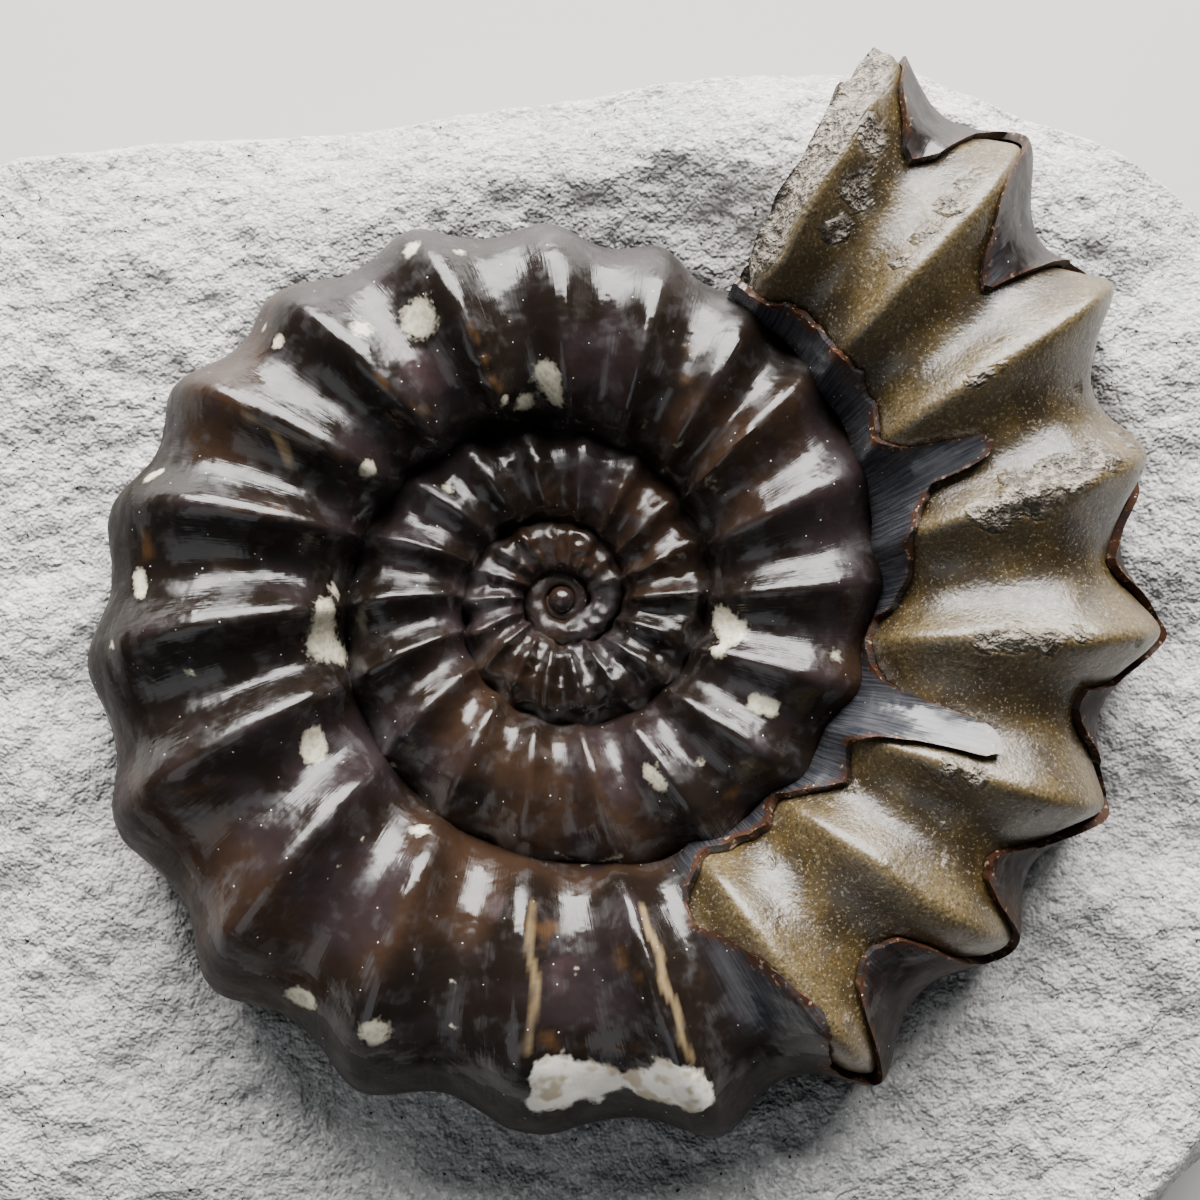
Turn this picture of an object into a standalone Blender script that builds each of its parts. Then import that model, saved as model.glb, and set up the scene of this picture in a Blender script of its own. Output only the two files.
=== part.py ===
"""An ammonite fossil lying in its block of limestone.

Three pieces: the block, the coiled shell, and the stone filling of the body chamber, which is bare
where the shell has flaked off. Lengths are in millimetres and angles in degrees until a mesh is made.

The coil is described in its own frame: its axis is z, it winds anticlockwise seen from above, and an
angle t counts along the winding, so t and t - 360 lie on one ray, a whorl apart. Each cross section is
a superellipse. On it phi is 90 at the top of the flank, 0 at the outer rim and -90 underneath.
"""

import bmesh
import bpy
import numpy as np

MM = 0.001
COLLECTION = "ammonite_fossil"

# The block and the place of the coil in it
BLOCK_HALF_X = 47.0
BLOCK_HALF_Y = 42.0
COIL_CENTRE = np.array([-2.0, 5.0, 21.0])
COIL_TILT = 6.0            # the far side of the coil is the higher one
BLOCK_RIM = [(47, -20), (46.5, 10), (45, 25), (39, 32.5), (33.6, 36), (27, 38.2), (21, 41.1), (10, 41.1),
             (-8, 38.7), (-20, 37.6), (-32, 36), (-40, 34.6), (-45, 30), (-47, 14), (-45, -16),
             (-40, -35), (-20, -40.4), (12, -40.4), (34, -35)]
BASE_FLARE = 1.04          # the block is this much wider at its base
CONTACT_PHI = -20.0        # where the stone meets the outer whorl
RAMP_RISE = 7.5            # the stone climbs this much beside the mouth
RAMP_SPREAD = 17.0         # and falls off over this many degrees
RAMP_END_RADIUS = 42.0     # the climb ends at this distance from the coil's centre
RAMP_END_WIDTH = 8.0
STONE_DROP = 0.8           # the free surface lies this far below the line of contact
LIP_WIDTH, LIP_RISE = 0.9, 0.2
SIDE_ROWS = [(1.0, 0.86), (1 + (BASE_FLARE - 1) / 2, 0.45), (BASE_FLARE, 0.0)]    # (width, height) shares
UNDERSIDE_SLACK = 1.18     # the pocket's floor clears the inner whorls by this factor
POCKET_START, POCKET_END = 1.3, 0.7       # degrees past the mouth where the pocket's wall starts and ends
HUB_CLEARANCE = 2.2

# Radius of the outer rim between the ribs, each quarter turn back from the mouth, then two near it
RIM_TURNS = [-1350, -1260, -1170, -1080, -990, -900, -810, -720, -630, -540, -450, -360, -270, -180,
             -90, 0, 40, 61]
RIM_RADII = [1.9, 2.3, 2.9, 3.75, 4.95, 6.0, 7.7, 9.0, 10.4, 13.0, 16.0, 18.9, 21.9, 27.0,
             30.4, 33.3, 36.2, 37.9]
OVERLAP = 0.045            # how far a whorl reaches over the one before, as a share of its radius
ROUNDNESS = 2.3            # exponent of the superellipse
COIL_START = -1077.5
BREAK_TURN = -65.0         # the full shell ends here
MOUTH_TURN = 61.0
COLUMNS_PER_TURN = 80

# Ribs: where each crest meets the outer rim, then evenly spaced on the inner whorls
OUTER_RIBS = [60.2, 44.5, 29.5, 13.5, -3.5, -21.5, -38, -56.8, -73.5, -93, -112, -131.5, -152.5,
              -171.5, -191, -208.5, -226.5, -248, -268, -286, -303.5, -317, -336.5]
RIB_PITCH = 20.0
RIB_SWEEP = 5.0            # a rib leans forward this much from the seam to the rim
RIB_REACH = [2.4, 3.1, 3.2, 2.4, 3.1, 2.7, 2.1, 2.6, 2.0, 1.1, 1.6, 1.9, 1.3, 1.0, 1.0, 1.3, 1.0, 1.1,
             0.8, 0.9, 0.9, 0.9, 0.9]     # how far each outer rib stands out at the rim
INNER_REACH = 0.17         # the same on the inner whorls, as a share of the half height
RIM_PHI = [-38, -8, 30, 45, 75, 100]
RIM_WEIGHT = [0, 0.85, 1, 1, 0.35, 0]     # how much of that reach a rib has round the section
FLANK_PHI = [0, 60, 90, 130, 155]
FLANK_HEIGHT = [0, 1.4, 1.3, 0.9, 0.2]    # height on the flank of a whorl of the full half height
FULL_WHORL_HALF_HEIGHT = 8.0

# Shell left over the body chamber: its edges in (t, phi), seam side and rim side
SHELL = 0.5
GAP = 0.3
FILLING_GAP = 0.37         # between the shell and the filling below it, more than GAP for the facets
SEAM_BAND = [(-65, 135), (-58, 146), (-43, 150), (-34, 132), (-26, 136), (-24, 112), (-21, 84),
             (-18, 92), (-13, 138), (-8, 153), (-2, 148), (5, 134), (14, 124), (16, 112), (18, 93),
             (20, 95), (24, 134), (31, 136), (40, 132), (47, 139), (61, 147)]
RIM_BAND = [(-65, 16), (-57, 16), (-54, 51), (-50, 72), (-46, 68), (-43, 50), (-40, 10), (-37, 12),
            (-34, 56), (-31, 60), (-28, 34), (-24, 8), (-18, 5), (-15, 34), (-11, 51), (-8, 16),
            (-3, 0), (3, 34), (6, 14), (12, 0), (28, -8), (33, 0), (35, 76), (38, 75), (42, 58),
            (45, 22), (48, 24), (51, 70), (54, 62), (58, 34), (61, 30)]
RIM_BAND_LOWER = -35.0

# Section rows from the upper seam over the flank and the rim to the lower seam
ROWS = [None, 130, 107, 84, 62, 43, 27, 10, -12, -40, -75, -115, None]
BREAK_ROWS = [None, 147, 141, 135, 95, 55, 16, -10, -35, -60, -85, -115, None]
SEAM_ROW, UNDER_ROW, RIM_ROW, LOWER_SEAM_ROW, LAST_ROW = 6, 7, 8, 9, 12
SEAM_BAND_ROWS = 3

COLOURS = {
    "limestone_matrix": ((0.50, 0.48, 0.45, 1.0), 0.85),
    "ammonite_shell": ((0.030, 0.018, 0.012, 1.0), 0.22),
    "body_chamber_mould": ((0.23, 0.18, 0.12, 1.0), 0.55),
}


def rim_radius(t):
    """Radius of the outer rim, by a cubic through the logarithms of the measured radii."""
    knots = np.array(RIM_TURNS, float)
    logs = np.log(RIM_RADII)
    slopes = np.gradient(logs, knots)
    t = np.asarray(t, float)
    k = np.clip(np.searchsorted(knots, t) - 1, 0, len(knots) - 2)
    width = knots[k + 1] - knots[k]
    u = (t - knots[k]) / width
    cubic = ((1 + 2 * u) * (1 - u) ** 2 * logs[k] + u ** 2 * (3 - 2 * u) * logs[k + 1]
             + width * (u * (1 - u) ** 2 * slopes[k] - u ** 2 * (1 - u) * slopes[k + 1]))
    linear = logs[0] + slopes[0] * (t - knots[0])
    return np.exp(np.where(t < knots[0], linear, cubic))


def section(t):
    """Radius of a section's centre, its half height along the radius and its half thickness."""
    outer = rim_radius(t)
    inner = rim_radius(t - 360) * (1 - OVERLAP)
    half = (outer - inner) / 2
    return (outer + inner) / 2, half, half


def flank_share(phi):
    """0 at the umbilical seam, 1 at the outer rim."""
    return np.clip((150 - np.abs(phi)) / 131, 0, 1)


def rib_crests():
    inward = np.arange(OUTER_RIBS[-1] - RIB_PITCH, COIL_START - 2 * RIB_PITCH, -RIB_PITCH)
    return np.sort(np.concatenate([OUTER_RIBS, inward, [OUTER_RIBS[0] + RIB_PITCH]]))


CRESTS = rib_crests()
OUTER_ORDER = np.argsort(OUTER_RIBS)
REACHES = np.interp(CRESTS, np.array(OUTER_RIBS)[OUTER_ORDER], np.array(RIB_REACH)[OUTER_ORDER])
REACHES = np.where(CRESTS < min(OUTER_RIBS), INNER_REACH * section(CRESTS)[1], REACHES)


def rib_relief(t, phi):
    """How far the surface stands out of the smooth section: a sharp crest and a rounded trough.

    Underneath, where the stone hides the whorl, it is smooth."""
    at_rim = t + RIB_SWEEP * (1 - flank_share(phi))
    phase = np.interp(at_rim, CRESTS, np.arange(len(CRESTS)))
    crest = 1 - np.abs(np.sin(np.pi * phase))
    weight = np.interp(phi, RIM_PHI, RIM_WEIGHT)
    reach = np.interp(phase, np.arange(len(CRESTS)), REACHES)
    flank = np.interp(phi, FLANK_PHI, FLANK_HEIGHT) * section(t)[1] / FULL_WHORL_HALF_HEIGHT
    return crest * (weight * reach + (1 - weight) * flank)


def coil_point(t, phi, inset=0.0, theta=None):
    """A point of the coil's surface, sunk by inset, in the coil's frame."""
    centre, half, thick = section(t)
    a = np.radians(phi)
    x = half * np.sign(np.cos(a)) * abs(np.cos(a)) ** (2 / ROUNDNESS)
    z = thick * np.sign(np.sin(a)) * abs(np.sin(a)) ** (2 / ROUNDNESS)
    scale = 1 + (rib_relief(t, phi) - inset) / np.hypot(x, z)
    rho = centre + x * scale
    angle = np.radians(t if theta is None else theta)
    return np.array([rho * np.cos(angle), rho * np.sin(angle), z * scale])


def seam_phi(t):
    """Where on the whorl's own section the next whorl's flank meets it."""
    phi = np.linspace(75, 5, 141)
    centre, half, thick = section(t)
    next_centre, next_half, next_thick = section(t + 360)
    a = np.radians(phi)
    rho = centre + half * np.cos(a) ** (2 / ROUNDNESS)
    z = thick * np.sin(a) ** (2 / ROUNDNESS)
    inside = (abs(rho - next_centre) / next_half) ** ROUNDNESS + (z / next_thick) ** ROUNDNESS < 1
    return phi[np.argmax(inside)]


def column_turn(i):
    return COIL_START + i * 360 / COLUMNS_PER_TURN


BREAK_COLUMN = round((BREAK_TURN - COIL_START) * COLUMNS_PER_TURN / 360)
MOUTH_COLUMN = round((MOUTH_TURN - COIL_START) * COLUMNS_PER_TURN / 360)
FREE_FROM = BREAK_COLUMN - COLUMNS_PER_TURN
COVERED_TO = MOUTH_COLUMN - COLUMNS_PER_TURN


def ribbed_turn(i, phi):
    """The angle t of a flank vertex: columns follow the rib crests, except at the two ends."""
    middle = CRESTS - RIB_SWEEP / 2
    index = np.round((middle - COIL_START) * COLUMNS_PER_TURN / 360)
    follow = min(abs(i - BREAK_COLUMN), abs(i - MOUTH_COLUMN), 3) / 3
    snapped = np.interp(i, index, middle) + RIB_SWEEP * flank_share(phi) - RIB_SWEEP / 2
    return column_turn(i) + follow * (snapped - column_turn(i))


def row_phi(i, row):
    near_break = np.clip(1 - (BREAK_COLUMN - i) / 3, 0, 1)
    return ROWS[row] + near_break * (BREAK_ROWS[row] - ROWS[row])


def band_phi(edge, i):
    turns, phis = zip(*edge)
    return np.interp(column_turn(i), turns, phis)


class Solid:
    """Vertices with names, and faces between them. Names that are one point share a vertex."""

    def __init__(self):
        self.index = {}
        self.points = []
        self.faces = []

    def add(self, name, point):
        self.index[name] = len(self.points)
        self.points.append(point)

    def same(self, name, other):
        self.index[name] = self.index[other]

    def face(self, *names):
        corners = [self.index[n] for n in names]
        corners = [c for k, c in enumerate(corners) if c != corners[k - 1]]
        if len(set(corners)) > 2:
            self.faces.append(corners)

    def strip(self, first, second):
        """Triangles between two equal columns of names, all split along the same diagonal."""
        for a, b, c, d in zip(first, first[1:], second[1:], second):
            self.face(a, b, c)
            self.face(a, c, d)


def to_block(point):
    """From the coil's frame to the block's."""
    angle = np.radians(COIL_TILT)
    x, y, z = point
    return COIL_CENTRE + [x, y * np.cos(angle) - z * np.sin(angle), y * np.sin(angle) + z * np.cos(angle)]


def make_object(name, solid, collection):
    mesh = bpy.data.meshes.new(name)
    mesh.from_pydata([tuple(p * MM) for p in solid.points], [], solid.faces)
    shape = bmesh.new()
    shape.from_mesh(mesh)
    bmesh.ops.recalc_face_normals(shape, faces=shape.faces)
    shape.to_mesh(mesh)
    shape.free()
    obj = bpy.data.objects.new(name, mesh)
    collection.objects.link(obj)
    colour, roughness = COLOURS[name]
    material = bpy.data.materials.new(name)
    material.use_nodes = True
    shader = material.node_tree.nodes["Principled BSDF"]
    shader.inputs["Base Color"].default_value = colour
    shader.inputs["Roughness"].default_value = roughness
    mesh.materials.append(material)
    return obj


def add_coil_vertices(solid):
    """Every point of the full whorls, the covered rim inside the body chamber and the seam."""
    for side in ("upper", "lower"):
        height = section(column_turn(0))[2] * 0.6
        solid.add(("hub", side), to_block([0, 0, height if side == "upper" else -height]))
    for i in range(BREAK_COLUMN + 1):
        t = column_turn(i)
        covered = i <= COVERED_TO
        phi = seam_phi(t) if covered else ROWS[SEAM_ROW]
        for row in range(LAST_ROW + 1):
            if row in (0, LAST_ROW):
                outer = SEAM_ROW if row == 0 else LOWER_SEAM_ROW
                side = "upper" if row == 0 else "lower"
                other = (i - COLUMNS_PER_TURN, outer)
                solid.same((i, row), ("hub", side) if i < COLUMNS_PER_TURN else other)
            elif i == 0 and row not in (SEAM_ROW, LOWER_SEAM_ROW):
                solid.same((i, row), ("hub", "upper" if row < SEAM_ROW else "lower"))
            elif covered and SEAM_ROW <= row <= LOWER_SEAM_ROW:
                under = SHELL / section(t)[1] * 60
                rim_rows = {SEAM_ROW: phi, UNDER_ROW: phi - under, RIM_ROW: 0, LOWER_SEAM_ROW: -phi}
                solid.add((i, row), to_block(coil_point(t, rim_rows[row])))
            else:
                angle = row_phi(i, row)
                turn = ribbed_turn(i, angle)
                solid.add((i, row), to_block(coil_point(turn, angle)))


def band_rows(i):
    """Angles phi of the rows of both bands in one column, by row number."""
    if i == BREAK_COLUMN:
        return {row: BREAK_ROWS[row] for row in (1, 2, 3, SEAM_ROW, UNDER_ROW, RIM_ROW)}
    seam = 180 - seam_phi(column_turn(i - COLUMNS_PER_TURN))
    edge = min(band_phi(SEAM_BAND, i), seam - 8)
    start = band_phi(RIM_BAND, i)
    phis = {row: seam + (edge - seam) * row / SEAM_BAND_ROWS for row in range(1, SEAM_BAND_ROWS + 1)}
    phis.update({SEAM_ROW: start, UNDER_ROW: (start + RIM_BAND_LOWER) / 2, RIM_ROW: RIM_BAND_LOWER})
    return phis


def add_band_vertices(solid):
    """Both faces of the thin shell that is left over the body chamber."""
    for i in range(BREAK_COLUMN, MOUTH_COLUMN + 1):
        phis = band_rows(i)
        solid.same(("inner", i, 0), (i - COLUMNS_PER_TURN, UNDER_ROW))
        if i > BREAK_COLUMN:
            solid.same((i, 0), (i - COLUMNS_PER_TURN, SEAM_ROW))
        for row, phi in phis.items():
            turn = ribbed_turn(i, phi)
            solid.add(("inner", i, row), to_block(coil_point(turn, phi, SHELL)))
            if i > BREAK_COLUMN:
                solid.add((i, row), to_block(coil_point(turn, phi)))


def shell_solid():
    solid = Solid()
    add_coil_vertices(solid)
    add_band_vertices(solid)
    for i in range(BREAK_COLUMN):
        rows = list(range(LAST_ROW + 1))
        for low, high in zip(rows, rows[1:]):
            on_rim = SEAM_ROW <= low < LOWER_SEAM_ROW
            under_band = low == SEAM_ROW and i < COVERED_TO
            if on_rim and (i < FREE_FROM or under_band):
                continue
            solid.face((i, low), (i + 1, low), (i + 1, high), (i, high))
    bands = [list(range(SEAM_BAND_ROWS + 1)), [SEAM_ROW, UNDER_ROW, RIM_ROW]]
    for band in bands:
        for i in range(BREAK_COLUMN, MOUTH_COLUMN):
            outer, outer_next = [(i, r) for r in band], [(i + 1, r) for r in band]
            inner, inner_next = [("inner",) + n for n in outer], [("inner",) + n for n in outer_next]
            solid.strip(outer_next, outer)
            solid.strip(inner_next, inner)
            solid.face(outer[-1], outer_next[-1], inner_next[-1], inner[-1])
            if band[0] == SEAM_ROW:
                solid.face(outer[0], inner[0], inner_next[0], outer_next[0])
        end = [(MOUTH_COLUMN, r) for r in band]
        solid.face(*end, *[("inner",) + n for n in reversed(end)])
    i = BREAK_COLUMN
    covered = i - COLUMNS_PER_TURN
    cap = [("inner", i, r) for r in range(SEAM_BAND_ROWS + 1)]
    cap += [(i, r) for r in range(SEAM_BAND_ROWS, SEAM_ROW + 1)]
    cap += [("inner", i, r) for r in (SEAM_ROW, UNDER_ROW, RIM_ROW)]
    cap += [(i, r) for r in range(RIM_ROW, LAST_ROW + 1)]
    cap += [(covered, RIM_ROW)]
    solid.face(*cap)
    return solid


MOULD_SEAM_MARGIN = 14      # the filling's edge stays this far from the seam
MOULD_LOWER_ROWS = [-60, -85, -115]
DORSAL_SHARES = [-0.7, 0.0, 0.7]
END_SETBACK = 0.9


def mould_phis(i, seam):
    """Rows of the filling. They follow the bands' rows, so that it stays parallel to them."""
    rows = band_rows(i)
    edge = seam - MOULD_SEAM_MARGIN
    phis = [edge] + [min(rows[r], edge - 0.6 * r) for r in range(1, SEAM_BAND_ROWS + 1)]
    bare = rows[SEAM_ROW] - phis[-1]
    phis += [phis[-1] + bare / 3, phis[-1] + bare * 2 / 3]
    phis += [rows[SEAM_ROW], rows[UNDER_ROW], rows[RIM_ROW]]
    return phis + MOULD_LOWER_ROWS + [-edge]


def mould_solid():
    """The filling: sunk under the shell, and hollow along the whorl that it wraps."""
    solid = Solid()
    sunk = SHELL + FILLING_GAP
    columns = list(range(BREAK_COLUMN, MOUTH_COLUMN + 1))
    names = []
    for i in columns:
        first = i == BREAK_COLUMN
        theta = column_turn(i) + (END_SETBACK if first else 0)
        on_seam = seam_phi(theta - 360)
        seam = 180 - on_seam
        ring = []
        for row, phi in enumerate(mould_phis(i, seam)):
            turn = theta if first else ribbed_turn(i, phi)
            solid.add((i, row), to_block(coil_point(turn, phi, sunk)))
            ring.append((i, row))
        for share in DORSAL_SHARES:
            point = coil_point(theta - 360, on_seam * share, -(GAP + 0.1))
            solid.add((i, "dorsal", share), to_block(point))
            ring.append((i, "dorsal", share))
        names.append(ring)
    for ring, following in zip(names, names[1:]):
        solid.strip(following + following[:1], ring + ring[:1])
    solid.face(*names[0])
    solid.face(*reversed(names[-1]))
    return solid


def block_rim_radius(theta):
    """Distance from the coil's centre to the rim of the block, along a ray."""
    corners = np.array(BLOCK_RIM, float) - COIL_CENTRE[:2]
    angles = np.degrees(np.arctan2(corners[:, 1], corners[:, 0]))
    order = np.argsort(angles)
    angles = np.concatenate([angles[order] - 360, angles[order], angles[order] + 360])
    corners = np.tile(corners[order], (3, 1))
    k = np.searchsorted(angles, theta) - 1
    a, b = corners[k], corners[k + 1]
    ray = np.array([np.cos(np.radians(theta)), np.sin(np.radians(theta))])
    edge = b - a
    return (a[0] * edge[1] - a[1] * edge[0]) / (ray[0] * edge[1] - ray[1] * edge[0])


def stone_height(t, radius, contact_z):
    """Height of the free stone surface in the coil's frame, with its climb beside the mouth."""
    past_mouth = t + 360 - MOUTH_TURN
    rise = RAMP_RISE * np.exp(-(past_mouth / RAMP_SPREAD) ** 2) if t < MOUTH_TURN - 180 else 0
    rise *= np.clip((RAMP_END_RADIUS - radius) / RAMP_END_WIDTH, 0, 1)
    swell = 0.5 * np.sin(0.31 * radius + np.radians(3 * t)) + 0.4 * np.sin(np.radians(5 * t + 40))
    return contact_z - STONE_DROP + rise + swell


def block_column(t):
    """Points down one ray: pocket floor from the hub outwards, free surface, side and base."""
    clear = GAP + 0.15
    theta = t % 360 if t % 360 < 180 else t % 360 - 360
    points = []
    for whorls_in in (2, 1):
        centre, _, thick = section(t - 360 * whorls_in)
        points.append(np.array([centre, -UNDERSIDE_SLACK * thick - clear]))
    for phi in (-90, -66, -42, CONTACT_PHI):
        p = coil_point(t, phi, -clear, theta=0)
        points.append(np.array([p[0], p[2]]))
    contact = points[-1]
    rim = block_rim_radius(theta)
    lip = contact + np.array([LIP_WIDTH, LIP_RISE])
    points.append(lip)
    for share in (0.3, 0.65, 0.97):
        radius = lip[0] + (rim - lip[0]) * share
        points.append(np.array([radius, stone_height(t, radius, contact[1])]))
    ray = np.array([np.cos(np.radians(theta)), np.sin(np.radians(theta))])
    placed = [to_block([p[0] * ray[0], p[0] * ray[1], p[1]]) for p in points]
    edge_z = placed[-1][2]
    for share, height in SIDE_ROWS:
        xy = COIL_CENTRE[:2] + ray * rim * share
        xy = np.clip(xy, [-BLOCK_HALF_X, -BLOCK_HALF_Y], [BLOCK_HALF_X, BLOCK_HALF_Y])
        placed.append(np.array([xy[0], xy[1], edge_z * height]))
    return placed


def block_solid():
    solid = Solid()
    turns = [MOUTH_TURN - 360 + POCKET_START]
    turns += [column_turn(i) for i in range(COVERED_TO + 1, MOUTH_COLUMN + 1)]
    turns[-1] = MOUTH_TURN + POCKET_END
    hub_depth = section(COIL_START)[2] + HUB_CLEARANCE
    solid.add("hub", to_block([0, 0, -hub_depth]))
    solid.add("base", np.array([COIL_CENTRE[0], COIL_CENTRE[1], 0.0]))
    columns = []
    for k, t in enumerate(turns):
        column = ["hub"]
        for row, point in enumerate(block_column(t)):
            solid.add((k, row), point)
            column.append((k, row))
        columns.append(column + ["base"])
    for column, following in zip(columns, columns[1:] + columns[:1]):
        solid.strip(column, following)
    return solid


def main():
    for obj in list(bpy.data.objects):
        bpy.data.objects.remove(obj, do_unlink=True)
    collection = bpy.data.collections.new(COLLECTION)
    bpy.context.scene.collection.children.link(collection)
    make_object("limestone_matrix", block_solid(), collection)
    make_object("ammonite_shell", shell_solid(), collection)
    make_object("body_chamber_mould", mould_solid(), collection)


main()
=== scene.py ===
"""Looks of the ammonite fossil: fine meshes and materials in place of the faceted solids.

Lengths are in millimetres and angles in degrees until a mesh is made. The coil has its own frame, as in
the model: its axis is z, t counts along the winding and phi goes round a cross section, 90 at the top
of the flank, 0 at the outer rim and -90 underneath.
"""

import math

import bpy
import numpy as np
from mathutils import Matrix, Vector
from mathutils.bvhtree import BVHTree


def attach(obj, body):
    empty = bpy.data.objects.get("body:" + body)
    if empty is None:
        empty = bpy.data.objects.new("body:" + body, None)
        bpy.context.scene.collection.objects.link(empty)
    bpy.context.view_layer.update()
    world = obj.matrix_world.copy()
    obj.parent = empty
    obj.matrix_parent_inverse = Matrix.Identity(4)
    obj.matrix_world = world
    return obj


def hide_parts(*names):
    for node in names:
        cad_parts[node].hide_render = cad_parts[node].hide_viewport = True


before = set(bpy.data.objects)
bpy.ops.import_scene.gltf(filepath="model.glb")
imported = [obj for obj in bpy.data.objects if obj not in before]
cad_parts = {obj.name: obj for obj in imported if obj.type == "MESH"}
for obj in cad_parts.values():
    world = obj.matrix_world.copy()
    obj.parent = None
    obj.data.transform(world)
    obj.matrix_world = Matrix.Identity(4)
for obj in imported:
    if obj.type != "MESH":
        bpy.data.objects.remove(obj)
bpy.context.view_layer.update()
MM = 0.001

# Camera: the photograph's view, and the place of the coil in it
PIXELS = 1200
FIELD_OF_VIEW = 38.0
ELEVATION = 80.0
CAMERA_DISTANCE = 105.6
COIL_PIXEL_X = 562.0
FOCAL_PIXELS = PIXELS / 2 / math.tan(math.radians(FIELD_OF_VIEW / 2))

# The coil, as in the model, but wound further in and with its ribs at full depth
COIL_CENTRE = np.array([-2.0, 5.0, 21.0])
COIL_TILT = 6.0
RIM_TURNS = np.array([-1350, -1260, -1170, -1080, -990, -900, -810, -720, -630, -540, -450, -360, -270,
                      -180, -90, 0, 40, 61], float)
RIM_LOGS = np.log([1.9, 2.3, 2.9, 3.75, 4.95, 6.0, 7.7, 9.0, 10.4, 13.0, 16.0, 18.9, 21.9, 27.0, 30.4,
                   33.3, 36.2, 37.9])
RIM_SLOPES = np.gradient(RIM_LOGS, RIM_TURNS)
OVERLAP = 0.045            # how far a whorl reaches over the one before, as a share of its radius
ROUNDNESS = 2.3            # exponent of the superellipse that a section is
COIL_START = -1640.0
INNER_END = -410.0         # the inner whorls end here, inside the start of the last one
OUTER_START = -425.0
SHEET_START = -76.0        # from here to the mouth the shell is a thin sheet
MOUTH_TURN = 61.0
OUTER_RIBS = [60.2, 44.5, 29.5, 13.5, -3.5, -21.5, -38, -56.8, -73.5, -93, -112, -131.5, -152.5,
              -171.5, -191, -208.5, -226.5, -248, -268, -286, -303.5, -317, -336.5]
RIB_PITCH = 20.0
RIB_SWEEP = 5.0            # a rib leans forward this much from the seam to the rim
CRESTS = np.sort(np.concatenate([OUTER_RIBS, np.arange(OUTER_RIBS[-1] - RIB_PITCH, COIL_START - 40,
                                                       -RIB_PITCH), [OUTER_RIBS[0] + RIB_PITCH]]))
RIB_REACH = [1.7, 2.7, 3.2, 2.4, 3.1, 2.7, 2.1, 2.6, 2.0, 1.1, 1.6, 1.9, 1.3, 1.0, 1.0, 1.3, 1.0, 1.1,
             0.8, 0.9, 0.9, 0.9, 0.9]     # how far each outer rib stands out at the rim
INNER_REACH = 0.20         # the same on the inner whorls, as a share of the half height
FLANK_PHI = [0, 60, 90, 125, 150, 165]
FLANK_HEIGHT = [0, 2.1, 2.1, 1.6, 0.7, 0.2]    # height of the ribs round a section of full size
SMOOTH_UNTIL = -1180.0     # the first whorls have no ribs
RIBBED_FROM = -860.0
FULL_WHORL_HALF_HEIGHT = 8.0
CHAMBER_RADIUS = 0.85      # of the first chamber, in the middle of the coil
CHAMBER_HEIGHT = 0.25
BURIED_COLUMNS = 8         # columns of the last whorl's mesh on its hidden side
SPLIT_RELIEF = 0.30        # of the filling's split patches, and how deep they lie
SPLIT_DEPTH = 0.22
CHIPPED_FROM = 56.3        # the filling is chipped from here to the mouth, to this depth
CHIP_DEPTH = 1.7

# Shell left over the body chamber, as (t, phi) along its edges, and the broken end of the full shell
SHELL = 0.55
SEAM_EDGE = [(-80, 134), (-68, 128), (-65, 134), (-59.6, 146), (-54, 147), (-47.4, 146), (-43, 154),
             (-38, 141), (-33.5, 131), (-30, 136), (-27, 133), (-24.6, 123), (-22.9, 110), (-22.0, 97),
             (-21.4, 89), (-20.2, 84), (-18.4, 84), (-17.3, 90), (-16.8, 105), (-16.1, 125), (-15, 140),
             (-12, 150), (-8, 156),
             (-4, 157), (-2.5, 148), (0, 142), (2.3, 138), (6.8, 131), (11, 127), (14, 124), (16.2, 120),
             (16.8, 104), (17.6, 96), (19, 92), (20.2, 96), (21.2, 112), (22.4, 126), (25.4, 136),
             (31, 136), (32.8, 140), (36, 134), (38.5, 131), (40.7, 132), (44, 137), (46.7, 139),
             (51.7, 141), (56, 146), (59.4, 149), (61, 150)]
RIM_EDGE = [(-80, 16), (-57, 14), (-55.6, 30), (-54.4, 51), (-52.9, 65), (-50.4, 72), (-48.5, 73),
            (-45.6, 68), (-43.5, 55), (-42.2, 33), (-40.5, 12), (-38, 8), (-36.6, 22), (-35.4, 43),
            (-34, 56), (-31.8, 61), (-29.7, 53), (-28, 34), (-25, 12), (-20, 2), (-17.3, 8), (-15.4, 32),
            (-12.7, 50), (-10.6, 52), (-9, 24), (-6, 8), (-2, 6), (0.2, 20), (2.1, 29), (3.5, 37),
            (6, 22), (9, 12), (12, -4), (16, -20), (27, -20), (29, -4), (31, -2), (33.4, 14),
            (34.3, 50), (35.1, 78), (36.5, 78), (38.4, 74), (41.9, 61), (43, 50), (44.4, 24), (46.5, 16),
            (48, 30), (49.1, 59), (50.7, 72), (52, 70), (53.4, 64), (56.2, 51), (57.3, 30), (58, 5),
            (58.8, -30), (61, -60)]
RIM_SHEET_LOWER = -52.0    # lower edge of the band along the rim
BREAK_EDGE = [(-180, -57), (-60, -57), (16, -57.5), (40, -60.5), (54, -60), (71, -58.5), (85, -60),
              (93, -61.5), (106, -65.4), (113, -68), (123, -67.5), (135, -65), (180, -65)]

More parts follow.
